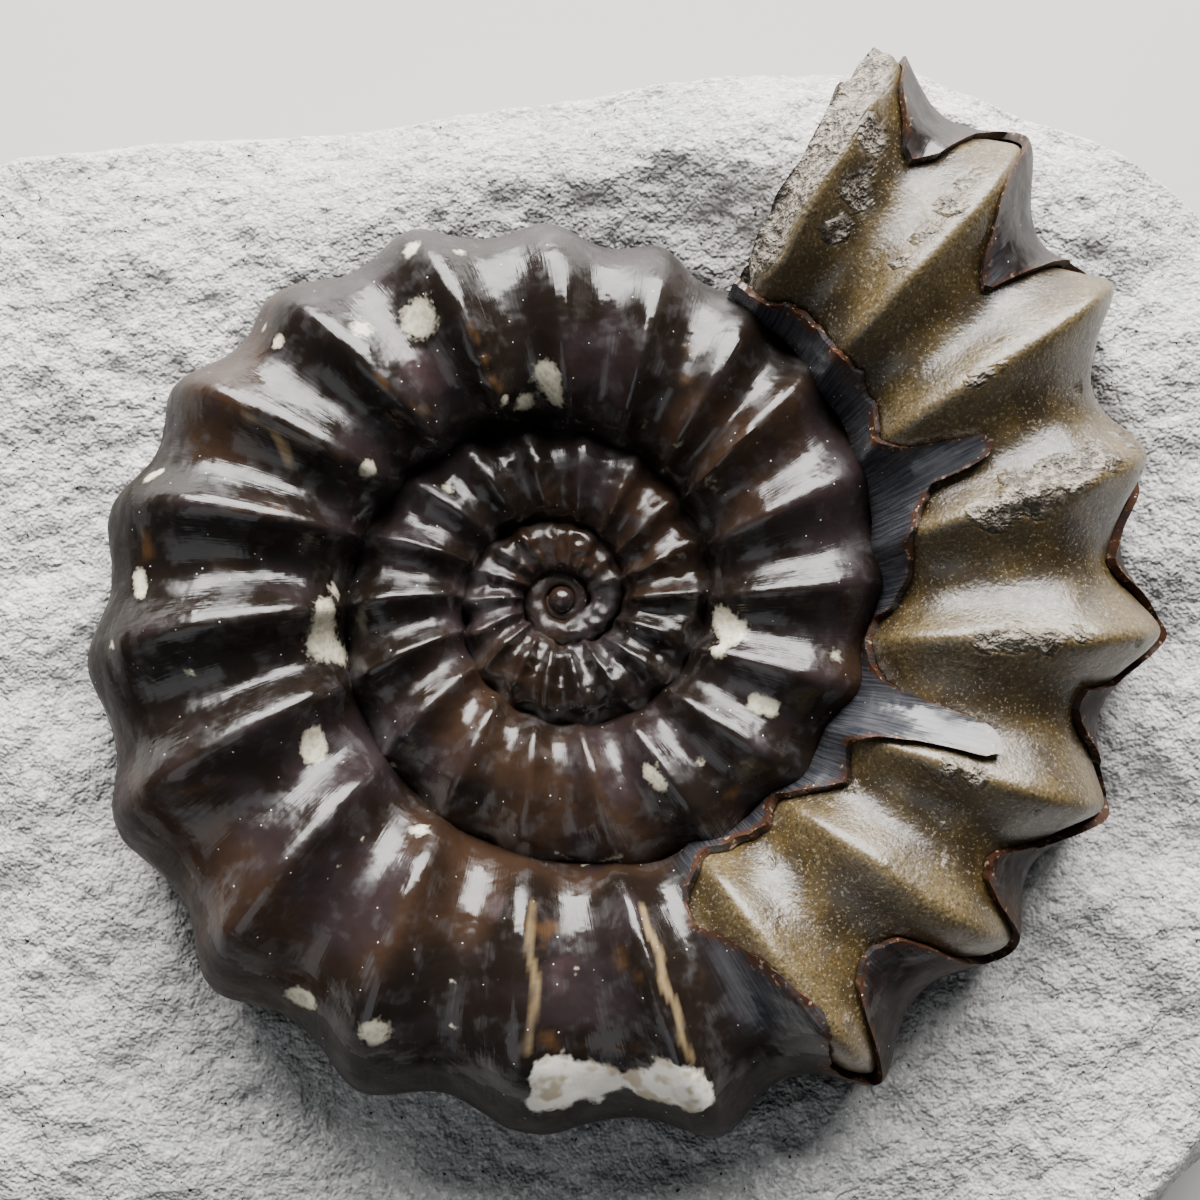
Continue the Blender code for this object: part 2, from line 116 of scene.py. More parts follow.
# The block, as in the model, but with a lower ramp beside the mouth
BLOCK_HALF = np.array([47.0, 42.0])
BLOCK_RIM = [(47, -20), (46.5, 10), (45, 25), (39, 32.5), (33.6, 36), (27, 38.2), (21, 41.1), (10, 41.1),
             (-8, 38.7), (-20, 37.6), (-32, 36), (-40, 34.6), (-45, 30), (-47, 14), (-45, -16),
             (-40, -35), (-20, -40.4), (12, -40.4), (34, -35)]
CONTACT_PHI = -20.0        # where the stone meets the last whorl
RAMP_RISE = 3.5
RAMP_SPREAD = 17.0         # degrees past the mouth over which the ramp falls off
RAMP_FOOT = 10.0           # width of its slope towards the coil
RAMP_TOP = 27.0            # the ramp is highest this far from the coil's axis, and ends at its edge
RAMP_EDGE = 45.0
POCKET_FLOOR_SLACK = 1.18  # the pocket's floor clears the inner whorls by this factor, and by the gap
POCKET_FLOOR_GAP = 0.45
POCKET_WALL_GAP = 0.18
POCKET_WALL_PHI = (-90, -66, -45, -32, CONTACT_PHI)
MOAT_START = -0.5          # the stone's height beside the coil, from the line of contact
MOAT_RISE = 1.1            # and its climb away from it
MOAT_WIDTH = 1.3
EDGE_FALL = 2.6            # the rounding of the block's upper edge
TOP_FALL = 1.2             # how far the top falls to the rim, and further on the far side
FAR_FALL = 1.8
BASE_FLARE = 0.03
SIDE_HOLLOW = 1.4
SIDE_RINGS = 25
BLOCK_COLUMNS = 620
TOP_SHARES = np.concatenate([np.linspace(0, 0.1, 12)[1:], np.linspace(0.1, 0.94, 84)[1:],
                             [0.955, 0.97, 0.982, 0.992]])
POCKET_HUB_DEPTH = 3.2
FAR_AWAY = 99.0            # distance to the coil where it plays no part

# Places in the photograph. Spots and patches are x, y, radius in pixels and strength
CREAM_SPOTS = [(420, 318, 24, 1.0), (361, 329, 17, 0.7), (412, 249, 13, 0.9), (375, 246, 8, 0.7),
               (460, 252, 9, 0.7), (278, 342, 9, 1.0), (264, 328, 6, 0.7), (150, 477, 8, 1.0),
               (160, 472, 6, 1.0), (368, 470, 13, 0.9), (139, 577, 11, 0.8), (141, 592, 10, 0.8),
               (112, 645, 7, 0.7), (190, 673, 6, 0.8), (334, 590, 11, 0.6), (325, 612, 20, 0.8),
               (322, 640, 26, 0.9), (340, 655, 15, 0.8), (313, 738, 16, 0.9), (314, 752, 15, 0.9),
               (420, 830, 15, 0.7), (393, 765, 6, 0.7), (296, 996, 14, 0.9), (308, 1000, 13, 0.9),
               (375, 1033, 18, 1.0), (548, 376, 21, 0.9), (524, 402, 14, 0.8), (555, 398, 15, 0.7),
               (505, 400, 8, 0.8), (722, 618, 20, 0.8), (735, 634, 18, 0.8), (718, 650, 13, 0.7),
               (757, 703, 12, 0.9), (772, 708, 11, 0.8), (835, 655, 12, 0.5), (650, 772, 12, 0.8),
               (660, 784, 11, 0.8), (680, 445, 9, 0.5), (712, 480, 9, 0.4), (840, 560, 7, 0.5),
               (448, 488, 9, 0.7), (1003, 738, 7, 0.9), (452, 982, 5, 0.6), (452, 1026, 6, 0.6),
               (362, 838, 5, 0.6), (337, 866, 5, 0.5), (577, 970, 6, 0.5), (700, 762, 8, 0.5)]
WHITE_PATCHES = [(545, 1072, 20, 0.7), (566, 1086, 34, 1.0), (602, 1082, 22, 0.8), (536, 1104, 16, 0.6),
                 (640, 1086, 20, 0.6), (672, 1086, 34, 1.0), (702, 1100, 18, 0.7), (600, 1102, 12, 0.4)]
# Streaks are lists of points with a radius and a strength
CREAM_STREAKS = [([(556, 853), (582, 866), (628, 854)], 5, 0.9)]
TAN_STREAKS = [([(533, 900), (529, 945), (537, 990), (525, 1060)], 8, 0.6),
               ([(642, 905), (648, 930), (660, 952), (663, 984), (677, 1006), (682, 1040), (695, 1066)],
                8, 0.75),
               ([(240, 412), (282, 440)], 6, 0.7), ([(280, 440), (292, 468)], 9, 0.7)]
AMBER_PATCHES = [(147, 535, 14, 0.8), (147, 552, 10, 0.7), (690, 350, 15, 0.5), (686, 375, 13, 0.5),
                 (620, 960, 18, 0.6), (635, 975, 14, 0.6), (545, 940, 20, 0.5), (545, 1040, 14, 0.5),
                 (655, 790, 12, 0.5), (340, 545, 13, 0.5), (165, 832, 12, 0.5), (530, 1030, 10, 0.6),
                 (352, 480, 12, 0.5), (735, 790, 13, 0.6)]
AMBER_STREAKS = [([(205, 398), (250, 420), (300, 440), (350, 462)], 7, 0.8),
                 ([(150, 800), (190, 790), (250, 770)], 6, 0.6),
                 ([(470, 325), (482, 350), (492, 380), (505, 395)], 7, 0.9),
                 ([(372, 372), (400, 400), (440, 415)], 7, 0.8),
                 ([(172, 505), (230, 512), (300, 508)], 5, 0.5), ([(560, 1060), (548, 1030)], 7, 0.5),
                 ([(515, 922), (545, 928), (572, 922)], 11, 0.5),
                 ([(548, 1050), (600, 1044), (670, 1052)], 8, 0.4)]
PURPLE_PATCHES = [(400, 350, 26, 0.8), (425, 380, 28, 0.9), (445, 360, 20, 0.7), (500, 900, 26, 0.6),
                  (560, 975, 34, 0.6), (390, 900, 30, 0.5)]
ROUGH_PATCHES = [(856, 190, 22, 1.0), (838, 230, 16, 0.9), (872, 130, 20, 1.0), (880, 75, 18, 0.9),
                 (900, 262, 13, 0.8), (925, 232, 14, 0.9), (950, 205, 16, 0.9), (968, 182, 12, 0.8),
                 (975, 378, 15, 0.7), (1005, 362, 10, 0.5), (995, 520, 22, 0.9), (1025, 490, 26, 1.0),
                 (1060, 470, 24, 0.8), (1100, 455, 26, 0.7), (1128, 440, 20, 0.6), (985, 642, 14, 0.9),
                 (1015, 640, 16, 1.0), (1050, 640, 15, 1.0), (1085, 636, 13, 0.9), (945, 772, 13, 0.8),
                 (980, 778, 12, 0.7), (938, 818, 16, 0.5)]
PITS = [(575, 770, 5), (574, 800, 5), (452, 488, 4), (480, 350, 9), (488, 372, 9), (472, 335, 6)]

RNG = np.random.default_rng(7)
RIB_VARIATION = 1 + 0.12 * RNG.uniform(-1, 1, len(CRESTS))


def lattice_noise(points, cell, seed):
    """Smooth noise between -1 and 1 with the given cell size."""
    q = points / cell
    base = np.floor(q).astype(np.int64)
    f = q - base
    f = f * f * (3 - 2 * f)
    total = np.zeros(len(points))
    for corner in range(8):
        step = np.array([corner & 1, corner >> 1 & 1, corner >> 2 & 1])
        c = base + step
        h = (c[:, 0] * 73856093) ^ (c[:, 1] * 19349663) ^ (c[:, 2] * 83492791) ^ (seed * 2654435761)
        h = (h ^ (h >> 13)) * 1274126177
        value = ((h ^ (h >> 16)) & 0xFFFF) / 32767.5 - 1
        total += value * np.prod(np.where(step, f, 1 - f), axis=1)
    return total


def fractal(points, cell, octaves, seed, falloff=0.5):
    return sum(falloff ** k * lattice_noise(points, cell / 2 ** k, seed + k) for k in range(octaves))


def smooth_step(low, high, x):
    u = np.clip((x - low) / (high - low), 0, 1)
    return u * u * (3 - 2 * u)


def blend(colour, other, share):
    """Mixes a colour into the colours of all points, by each point's share."""
    share = np.clip(share, 0, 1)[:, None]
    return colour * (1 - share) + np.array(other) * share


def rim_radius(t):
    t = np.asarray(t, float)
    k = np.clip(np.searchsorted(RIM_TURNS, t) - 1, 0, len(RIM_TURNS) - 2)
    width = RIM_TURNS[k + 1] - RIM_TURNS[k]
    u = (t - RIM_TURNS[k]) / width
    cubic = ((1 + 2 * u) * (1 - u) ** 2 * RIM_LOGS[k] + u ** 2 * (3 - 2 * u) * RIM_LOGS[k + 1]
             + width * (u * (1 - u) ** 2 * RIM_SLOPES[k] - u ** 2 * (1 - u) * RIM_SLOPES[k + 1]))
    linear = RIM_LOGS[0] + RIM_SLOPES[0] * (t - RIM_TURNS[0])
    return np.exp(np.where(t < RIM_TURNS[0], linear, cubic))


def section(t):
    """Radius of a section's centre and its half height, which is also its half thickness."""
    outer = rim_radius(t)
    inner = rim_radius(t - 360) * (1 - OVERLAP)
    return (outer + inner) / 2, (outer - inner) / 2


OUTER_ORDER = np.argsort(OUTER_RIBS)
REACHES = np.interp(CRESTS, np.array(OUTER_RIBS)[OUTER_ORDER], np.array(RIB_REACH)[OUTER_ORDER])
REACHES = np.where(CRESTS < min(OUTER_RIBS), INNER_REACH * section(CRESTS)[1], REACHES)


def rib_phase(t, phi):
    """Counts the ribs along the winding: whole numbers on the crests, halves in the troughs."""
    share = np.clip((150 - np.abs(phi)) / 131, 0, 1)
    at_rim = t + RIB_SWEEP * (1 - share)
    return np.interp(at_rim, CRESTS, np.arange(len(CRESTS)))


def crest_shape(t, phi, sharpness=1.0):
    """1 on a rib's crest and 0 in the trough. Old ribs are blunt, and those at the mouth are sharp."""
    old = smooth_step(-40, -110, t)
    at_rim = smooth_step(70, 25, phi)
    rounding = (0.20 + 0.16 * old + 0.45 * old * at_rim) / sharpness
    wave = np.sqrt(np.sin(np.pi * rib_phase(t, phi)) ** 2 + rounding ** 2)
    full = np.sqrt(1 + rounding ** 2)
    return (full - wave) / (full - rounding)


def rib_relief(t, phi, sharpness=1.0):
    """Height above the trough, with each rib's own strength."""
    phase = rib_phase(t, phi)
    order = np.arange(len(CRESTS))
    weight = smooth_step(-40, -5, phi) * smooth_step(100, 35, phi)
    reach = np.interp(phase, order, REACHES)
    flank = np.interp(phi, FLANK_PHI, FLANK_HEIGHT) * section(t)[1] / FULL_WHORL_HALF_HEIGHT
    flank = flank * np.interp(phase, order, RIB_VARIATION)
    ribbed = smooth_step(SMOOTH_UNTIL, RIBBED_FROM, t)
    return crest_shape(t, phi, sharpness) * (weight * reach + (1 - weight) * flank) * ribbed


def coil_points(t, phi, inset=0.0, extra=0.0, sharpness=1.0):
    """Points of the coil's surface in its own frame, for arrays t and phi."""
    centre, half = section(t)
    a = np.radians(phi)
    x = half * np.sign(np.cos(a)) * np.abs(np.cos(a)) ** (2 / ROUNDNESS)
    z = half * np.sign(np.sin(a)) * np.abs(np.sin(a)) ** (2 / ROUNDNESS)
    scale = 1 + (rib_relief(t, phi, sharpness) - inset + extra) / np.hypot(x, z)
    rho = centre + x * scale
    angle = np.radians(t)
    return np.stack([rho * np.cos(angle), rho * np.sin(angle), z * scale], -1)


def to_block(points):
    angle = math.radians(COIL_TILT)
    c, s = math.cos(angle), math.sin(angle)
    x, y, z = points[..., 0], points[..., 1], points[..., 2]
    return np.stack([x, y * c - z * s, y * s + z * c], -1) + COIL_CENTRE


def make_piece(name, points, faces, materials, replaced, attributes, sharp=None, places=None):
    """A mesh object from millimetre points and quads or triangles, riding on the one body.

    The places say which of the materials each face has."""
    mesh = bpy.data.meshes.new(name)
    mesh.from_pydata((points * MM).tolist(), [], [list(dict.fromkeys(f)) for f in faces])
    for key, values in attributes.items():
        values = np.asarray(values, np.float32)
        if values.ndim == 1:
            mesh.attributes.new(key, "FLOAT", "POINT").data.foreach_set("value", values)
        else:
            mesh.attributes.new(key, "FLOAT_COLOR", "POINT").data.foreach_set("color", values.ravel())
    mesh.polygons.foreach_set("use_smooth", [True] * len(mesh.polygons))
    if sharp:
        mesh.set_sharp_from_angle(angle=math.radians(sharp))
    for material in materials:
        mesh.materials.append(material)
    if places is not None:
        mesh.polygons.foreach_set("material_index", places)
    obj = bpy.data.objects.new(name, mesh)
    bpy.context.scene.collection.objects.link(obj)
    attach(obj, "root")
    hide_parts(replaced)
    return obj


def grid_faces(rows, columns, close_columns=False):
    """Quads of a grid of vertices numbered row by row."""
    i, j = np.meshgrid(np.arange(rows - 1), np.arange(columns if close_columns else columns - 1),
                       indexing="ij")
    k = (j + 1) % columns
    a, b = i * columns + j, i * columns + k
    c, d = (i + 1) * columns + k, (i + 1) * columns + j
    return np.stack([a, d, c, b], -1).reshape(-1, 4)


def even_turns(start, end, step):
    """Turn angles spaced evenly along the outer rim."""
    fine = np.linspace(start, end, 4000)
    arc = np.concatenate([[0], np.cumsum(np.radians(np.diff(fine)) * rim_radius(fine[1:]))])
    return np.interp(np.linspace(0, arc[-1], int(arc[-1] / step) + 1), arc, fine)


def section_angles(fine_step, coarse, low=-56, high=160):
    """Angles phi round a section, fine where it is seen and coarse where it is buried."""
    fine = np.linspace(low, high, int((high - low) / fine_step))
    buried = np.linspace(high, low + 360, coarse + 2)[1:-1]
    return np.concatenate([fine, buried])


def wrap(phi):
    return np.where(phi > 180, phi - 360, phi)


def shell_undulation(points, t, half):
    """Unevenness of the polished surface, and the crystalline lumps of the innermost whorls."""
    smooth = (0.16 * lattice_noise(points, 3.1, 3) + 0.05 * lattice_noise(points, 1.1, 4)
              + 0.02 * lattice_noise(points, 0.5, 5)) * np.clip(half / 6, 0.25, 1)
    lumps = 0.28 * lattice_noise(points, 1.15, 6) + 0.12 * lattice_noise(points, 0.5, 7)
    lumpy = 0.35 * smooth_step(-380, -450, t) + 0.65 * smooth_step(-560, -800, t)
    return smooth + lumps * lumpy * smooth_step(-1330, -1150, t)


# Tools for places given by pixels

CAMERA_PLACE = COIL_CENTRE + np.array([(PIXELS / 2 - COIL_PIXEL_X) * CAMERA_DISTANCE / FOCAL_PIXELS,
                                       -CAMERA_DISTANCE * math.cos(math.radians(ELEVATION)),
                                       CAMERA_DISTANCE * math.sin(math.radians(ELEVATION))])


def pixel_ray(x, y):
    lean = math.radians(90 - ELEVATION)
    right = np.array([1.0, 0, 0])
    up = np.array([0, math.cos(lean), math.sin(lean)])
    ahead = np.array([0, math.sin(lean), -math.cos(lean)])
    ray = ahead * FOCAL_PIXELS + right * (x - PIXELS / 2) + up * (PIXELS / 2 - y)
    return ray / np.linalg.norm(ray)


def place_on(tree, x, y):
    """The point of a surface that a pixel shows, and millimetres per pixel there."""
    ray = pixel_ray(x, y)
    hit, _, _, distance = tree.ray_cast(Vector(CAMERA_PLACE), Vector(ray))
    if hit is None:
        return None, None
    return np.array(hit), distance / FOCAL_PIXELS


def streak_spots(streaks, step=5.0):
    """Rows of spots along the streaks."""
    spots = []
    for corners, radius, strength in streaks:
        for (x0, y0), (x1, y1) in zip(corners, corners[1:]):
            count = max(1, int(math.hypot(x1 - x0, y1 - y0) / step))
            spots += [(x0 + (x1 - x0) * k / count, y0 + (y1 - y0) * k / count, radius, strength * 0.42)
                      for k in range(count)]
    return spots


def blots(points, tree, marks):
    """How deep each point lies in the marks, which run together: 0 on their edge."""
    depth = np.zeros(len(points))
    for x, y, radius, strength in marks:
        centre, scale = place_on(tree, x, y)
        if centre is None:
            continue
        away = np.linalg.norm(points - centre, axis=1) / (radius * scale)
        depth = depth + strength * np.exp(-1.39 * away ** 2)
    return np.minimum(depth, 1.25) - 0.25


def press_pits(points, tree):
    """Sinks small pits into the surface, towards the coil's mid-plane."""
    for x, y, radius in PITS:
        centre, scale = place_on(tree, x, y)
        if centre is None:
            continue
        reach = radius * scale * 1.5
        near = np.clip(1 - np.linalg.norm(points - centre, axis=1) / reach, 0, 1)
        points[:, 2] -= 0.55 * reach * near ** 1.5
    return points


# The coil's meshes

def whorl_grid(turns, phis):
    t, phi = np.meshgrid(turns, wrap(phis), indexing="ij")
    t, phi = t.ravel(), phi.ravel()
    uneven = shell_undulation(coil_points(t, phi), t, section(t)[1])
    return coil_points(t, phi, 0.0, uneven), t, phi


def cap_fan(ring, hub):
    ring = list(ring)
    return [[a, b, hub] for a, b in zip(ring, ring[1:] + ring[:1])]


def first_chamber():
    """The small round chamber that the shell grew from, as a ball of points and faces."""
    rows, columns = 9, 16
    latitude, longitude = np.meshgrid(np.linspace(90, -90, rows), np.arange(columns) * 360 / columns,
                                      indexing="ij")
    lat, lon = np.radians(latitude.ravel()), np.radians(longitude.ravel())
    ball = np.stack([np.cos(lat) * np.cos(lon), np.cos(lat) * np.sin(lon), np.sin(lat)], -1)
    centre = np.array([0.0, 0.0, CHAMBER_HEIGHT])
    faces = grid_faces(rows, columns, True).tolist()
    return ball * CHAMBER_RADIUS + centre, faces


def inner_whorls():
    turns = even_turns(COIL_START, INNER_END, 0.17)
    phis = section_angles(3.4, 8, low=-60, high=158)
    points, t, phi = whorl_grid(turns, phis)
    n = len(phis)
    faces = grid_faces(len(turns), n, True).tolist()
    hubs = [points[:n].mean(0), points[-n:].mean(0)]
    start = len(points)
    faces += [f[::-1] for f in cap_fan(range(n), start)]
    faces += cap_fan(range(start - n, start), start + 1)
    ball, ball_faces = first_chamber()
    faces += [[k + start + 2 for k in f] for f in ball_faces]
    points = np.concatenate([points, hubs, ball])
    extra = 2 + len(ball)
    return to_block(points), faces, np.append(t, [COIL_START] * extra), np.append(phi, [90] * extra)


MM_PER_DEGREE = 0.55       # along the rim of the body chamber
MM_PER_PHI = 0.14          # round its section


def shell_cover(t, phi):
    """Positive, in millimetres, where shell covers the filling, and negative where it is bare."""
    centre, half = section(t)
    outer = np.radians(1) * (centre + half * np.cos(np.radians(phi)))
    break_turns = np.interp(phi, *zip(*BREAK_EDGE))
    whole = (break_turns - t) * outer
    along = np.radians(1) * half
    seam = (phi - np.interp(t, *zip(*SEAM_EDGE))) * along
    rim = (np.interp(t, *zip(*RIM_EDGE)) - phi) * along
    below = (phi - RIM_SHEET_LOWER) * along
    cover = np.maximum(whole, np.maximum(seam, np.minimum(rim, below)))
    grid = np.stack([t * MM_PER_DEGREE, phi * MM_PER_PHI, np.zeros_like(t)], -1)
    return cover + 0.25 * lattice_noise(grid, 1.4, 21) + 0.14 * lattice_noise(grid, 0.6, 22)


def snap_to_edge(t, phi, near, reach_t, reach_phi):
    """Moves the vertices beside the shell's edge on to it."""
    for _ in range(3):
        g = shell_cover(t[near], phi[near])
        step = 0.02
        gt = (shell_cover(t[near] + step, phi[near]) - g) / step
        gp = (shell_cover(t[near], phi[near] + step) - g) / step
        r, h = section(t[near])
        mt, mp = gt / (np.radians(1) * (r + h)), gp / (np.radians(1) * h)
        steep = np.maximum(mt ** 2 + mp ** 2, 0.3)
        t[near] -= np.clip(g * mt / steep / (np.radians(1) * (r + h)), -reach_t, reach_t)
        phi[near] -= np.clip(g * mp / steep / (np.radians(1) * h), -reach_phi, reach_phi)
    return t, phi


def open_edges(faces):
    """Edges that only one face has, in the order that they come up in."""
    edges = {}
    for face in faces:
        for a, b in zip(face, face[1:] + face[:1]):
            if (b, a) in edges:
                del edges[(b, a)]
            else:
                edges[(a, b)] = True
    return list(edges)


def without_unused(points, faces, *fields):
    """Leaves out the points that no face has, and renumbers the faces."""
    used = np.zeros(len(points), bool)
    used[np.concatenate([np.array(f) for f in faces])] = True
    renumber = (np.cumsum(used) - 1).tolist()
    return [points[used], [[renumber[k] for k in f] for f in faces]] + [field[used] for field in fields]


def sheet_cells(t, cover):
    """Cells of the last whorl's grid that have shell, and how many of them each vertex has."""
    rows, n = t.shape
    across = cover + np.roll(cover, -1, axis=1)
    middle = (across[:-1] + across[1:]) / 4
    seen_columns = np.arange(n) < n - BURIED_COLUMNS - 1
    kept = ((t[:-1] + t[1:]) / 2 < SHEET_START) | ((middle > 0) & seen_columns[None, :])
    cells = np.argwhere(kept)
    count = np.zeros((rows, n), int)
    for di in (0, 1):
        for dj in (0, 1):
            np.add.at(count, (cells[:, 0] + di, (cells[:, 1] + dj) % n), 1)
    return cells, count


def outer_whorl():
    """The last whorl: solid to SHEET_START, then a thin broken sheet as far as the mouth."""
    turns = np.concatenate([even_turns(OUTER_START, SHEET_START, 0.36)[:-1],
                            even_turns(SHEET_START, MOUTH_TURN, 0.27)])
    first = int(np.argmin(abs(turns - SHEET_START)))
    phis = section_angles(2.0, coarse=BURIED_COLUMNS)
    n, rows = len(phis), len(turns)
    t, phi = np.meshgrid(turns, wrap(phis), indexing="ij")
    cells, count = sheet_cells(t, shell_cover(t.ravel(), phi.ravel()).reshape(rows, n))
    edge = ((count > 0) & (count < 4) & (t > SHEET_START + 1) & (t < MOUTH_TURN - 0.1)).ravel()
    t, phi = snap_to_edge(t.ravel().copy(), phi.ravel().copy(), edge, 0.25, 1.2)
    uneven = shell_undulation(coil_points(t, phi), t, section(t)[1])
    outside = coil_points(t, phi, 0.0, uneven)
    inside = coil_points(t, phi, SHELL, uneven)
    total = rows * n
    quads = np.stack([cells[:, 0] * n + cells[:, 1], (cells[:, 0] + 1) * n + cells[:, 1],
                      (cells[:, 0] + 1) * n + (cells[:, 1] + 1) % n,
                      cells[:, 0] * n + (cells[:, 1] + 1) % n], -1)
    sheet = quads[cells[:, 0] >= first]
    start_ring = range(first * n, (first + 1) * n)
    walls = [e for e in open_edges(sheet.tolist()) if not (e[0] in start_ring and e[1] in start_ring)]
    faces = quads.tolist() + (sheet[:, ::-1] + total).tolist()
    faces += [[b, a, a + total, b + total] for a, b in walls]
    faces += [f[::-1] for f in cap_fan(range(n), 2 * total)]
    faces += cap_fan([k + total for k in start_ring], 2 * total + 1)
    hubs = [outside[:n].mean(0), inside[start_ring.start:start_ring.stop].mean(0)]
    points = np.concatenate([outside, inside, hubs])
    t = np.concatenate([t, t, [turns[0], turns[first]]])
    phi = np.concatenate([phi, phi, [90, 90]])
    broken = np.concatenate([edge, np.ones(total + 2, bool)]).astype(float)
    points, faces, t, phi, broken = without_unused(points, faces, t, phi, broken)
    return to_block(points), faces, t, phi, broken


def split_relief(plain, t, phi, faces):
    """Unevenness of the filling, and where it is rough: in the split patches and at the chipped mouth."""
    bare = smooth_step(0.3, -0.3, shell_cover(t, phi))
    ragged = 0.30 * lattice_noise(plain, 1.5, 31) + 0.22 * lattice_noise(plain, 0.7, 32)
    patches = blots(to_block(plain), tree_of(to_block(plain), faces), ROUGH_PATCHES)
    rough = smooth_step(0.0, 0.22, patches + ragged) * bare
    chipped = smooth_step(CHIPPED_FROM, MOUTH_TURN, t + 1.6 * lattice_noise(plain, 3.0, 38))
    chipped = chipped * smooth_step(0, 30, phi)
    rough = np.maximum(rough, smooth_step(0.05, 0.3, chipped))
    uneven = (0.15 * lattice_noise(plain, 3.4, 34) + 0.05 * lattice_noise(plain, 1.2, 35)
              + rough * (SPLIT_RELIEF * fractal(plain, 1.1, 3, 33, 0.62) - SPLIT_DEPTH)
              - chipped * (CHIP_DEPTH + 1.0 * lattice_noise(plain, 2.2, 39)))
    return uneven, rough, bare


def chip_mouth(points, n):
    """Turns the last ring's points to and fro round the axis, so that the mouth ends unevenly."""
    last = points[-n:]
    chips = 0.9 * lattice_noise(last, 3.1, 41) + 0.5 * lattice_noise(last, 1.2, 42)
    turn = np.radians(chips - 0.2)
    x, y = last[:, 0].copy(), last[:, 1].copy()
    last[:, 0] = x * np.cos(turn) - y * np.sin(turn)
    last[:, 1] = x * np.sin(turn) + y * np.cos(turn)
    points[-n:] = last


def filling():
    """The stone filling of the body chamber, rough where it was split."""
    turns = even_turns(SHEET_START - 6, MOUTH_TURN, 0.25)
    phis = section_angles(1.8, coarse=10)
    t, phi = np.meshgrid(turns, wrap(phis), indexing="ij")
    t, phi = t.ravel(), phi.ravel()
    n = len(phis)
    faces = grid_faces(len(turns), n, True).tolist()
    uneven, rough, bare = split_relief(coil_points(t, phi, SHELL), t, phi, faces)
    points = coil_points(t, phi, SHELL + 0.05 + 0.06 * (1 - bare), uneven, 0.9)
    chip_mouth(points, n)
    start = len(points)
    faces += [f[::-1] for f in cap_fan(range(n), start)]
    faces += cap_fan(range(start - n, start), start + 1)
    points = np.concatenate([points, [points[:n].mean(0), points[start - n:].mean(0)]])
    # the crests carry a painted highlight in the tint
    crest = np.append(np.clip(crest_shape(t, phi), 0, 1), [0, 0])
    tint = filling_tint(points, crest)
    return to_block(points), faces, {"tint": tint, "rough": np.append(rough, [0, 1])}


# The block

def block_rim_radius(theta):
    """Distance from the coil's centre to the rim of the block, for an array of directions."""
    corners = np.array(BLOCK_RIM, float) - COIL_CENTRE[:2]
    angles = np.degrees(np.arctan2(corners[:, 1], corners[:, 0]))
    order = np.argsort(angles)
    angles = np.concatenate([angles[order] - 360, angles[order], angles[order] + 360])
    corners = np.tile(corners[order], (3, 1))
    k = np.searchsorted(angles, theta) - 1
    a, edge = corners[k], corners[k + 1] - corners[k]
    ray = np.stack([np.cos(np.radians(theta)), np.sin(np.radians(theta))], -1)
    reach = a[:, 0] * edge[:, 1] - a[:, 1] * edge[:, 0]
    return reach / (ray[:, 0] * edge[:, 1] - ray[:, 1] * edge[:, 0])


def flat_ring(ray, radius, height):
    """A ring of points round the coil's axis, in the block's frame."""
    height = np.broadcast_to(height, radius.shape)
    return to_block(np.stack([ray[:, 0] * radius, ray[:, 1] * radius, height], -1))


def pocket_rings(turns, ray):
    """Rings under the inner whorls and up the pocket's wall, and where the last one lies."""
    rings = []
    for back in (720, 360):
        centre, half = section(turns - back)
        rings.append(flat_ring(ray, centre, -POCKET_FLOOR_SLACK * half - POCKET_FLOOR_GAP))
    for phi in POCKET_WALL_PHI:
        wall = coil_points(turns, np.full(len(turns), float(phi)), -POCKET_WALL_GAP)
        rings.append(flat_ring(ray, np.hypot(wall[:, 0], wall[:, 1]), wall[:, 2]))
    return rings, np.hypot(wall[:, 0], wall[:, 1]), wall[:, 2]


def top_rings(turns, theta, ray, contact_radius, contact_height):
    """Rings over the free surface, the radius of its rim, and each ring's distance to the coil."""
    far = smooth_step(40, 80, theta) * smooth_step(150, 110, theta)
    rim = block_rim_radius(theta) * (0.985 - 0.02 * far)
    past_mouth = np.maximum(turns + 360 - MOUTH_TURN, 0)
    rise = RAMP_RISE * np.exp(-(past_mouth / RAMP_SPREAD) ** 2) * (turns < MOUTH_TURN - 180)
    rings, gaps = [], []
    for share in TOP_SHARES:
        radius = contact_radius + (rim - contact_radius) * share
        away = radius - contact_radius
        moat = MOAT_RISE * (1 - np.exp(-away / MOAT_WIDTH)) + MOAT_START
        climb = rise * smooth_step(RAMP_EDGE, RAMP_TOP, radius) * smooth_step(0, RAMP_FOOT, away)
        swell = (0.5 * np.sin(0.31 * radius + np.radians(3 * turns))
                 + 0.4 * np.sin(np.radians(5 * turns + 40)))
        fall = (EDGE_FALL * smooth_step(0.88, 1.0, share) ** 2
                + (TOP_FALL + FAR_FALL * far) * smooth_step(0.4, 1.0, share))
        height = contact_height + moat + climb + swell * smooth_step(0, 3, away) - fall
        rings.append(flat_ring(ray, radius, height))
        gaps.append(away)
    return rings, rim, gaps


def side_rings(ray, rim, rim_height):
    """Rings down the block's hollowed sides to its base."""
    rings = []
    for share in np.linspace(0, 1, SIDE_RINGS + 1)[1:]:
        hollow = SIDE_HOLLOW * smooth_step(0, 0.2, share) * smooth_step(1, 0.9, share)
        flat = COIL_CENTRE[:2] + ray * (rim * (1 + BASE_FLARE * share) - hollow)[:, None]
        rings.append(np.concatenate([flat, (rim_height * (1 - share))[:, None]], 1))
    return rings


